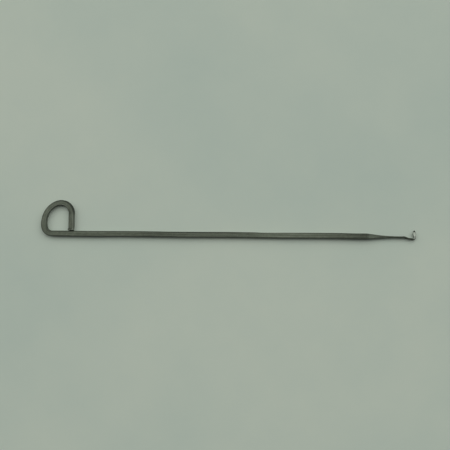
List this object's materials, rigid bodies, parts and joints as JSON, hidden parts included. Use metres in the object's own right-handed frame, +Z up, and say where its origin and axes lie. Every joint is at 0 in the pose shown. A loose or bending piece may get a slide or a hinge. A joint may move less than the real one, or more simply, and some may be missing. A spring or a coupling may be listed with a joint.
{
  "type": "drawing-in hook",
  "caption": "Slim steel drawing-in hook for weaving: square wire bent into a D-shaped hanging eye at one end, ground to a thin neck and small upturned hook at the other.",
  "frame": {"origin": "bottom centre of the tool's box, on the surface that the tool lies on", "axes": "+X from the hanging eye to the hook, +Y the side to which the eye and the hook turn, +Z up from the surface"},
  "size_m": [0.1806, 0.018, 0.0025],
  "materials": {
    "drawn_steel": "dull drawn wire with lengthwise draw lines and a grey-brown oxide film",
    "ground_steel": "ground facets, darkened by handling",
    "worn_steel": "polished bright by thread, dark in the bend"
  },
  "bodies": {
    "root": {"eye_loop": "drawn_steel", "shank": "drawn_steel", "shoulder_taper": "ground_steel", "neck": "ground_steel", "hook_tip": "worn_steel"}
  },
  "joints": []
}
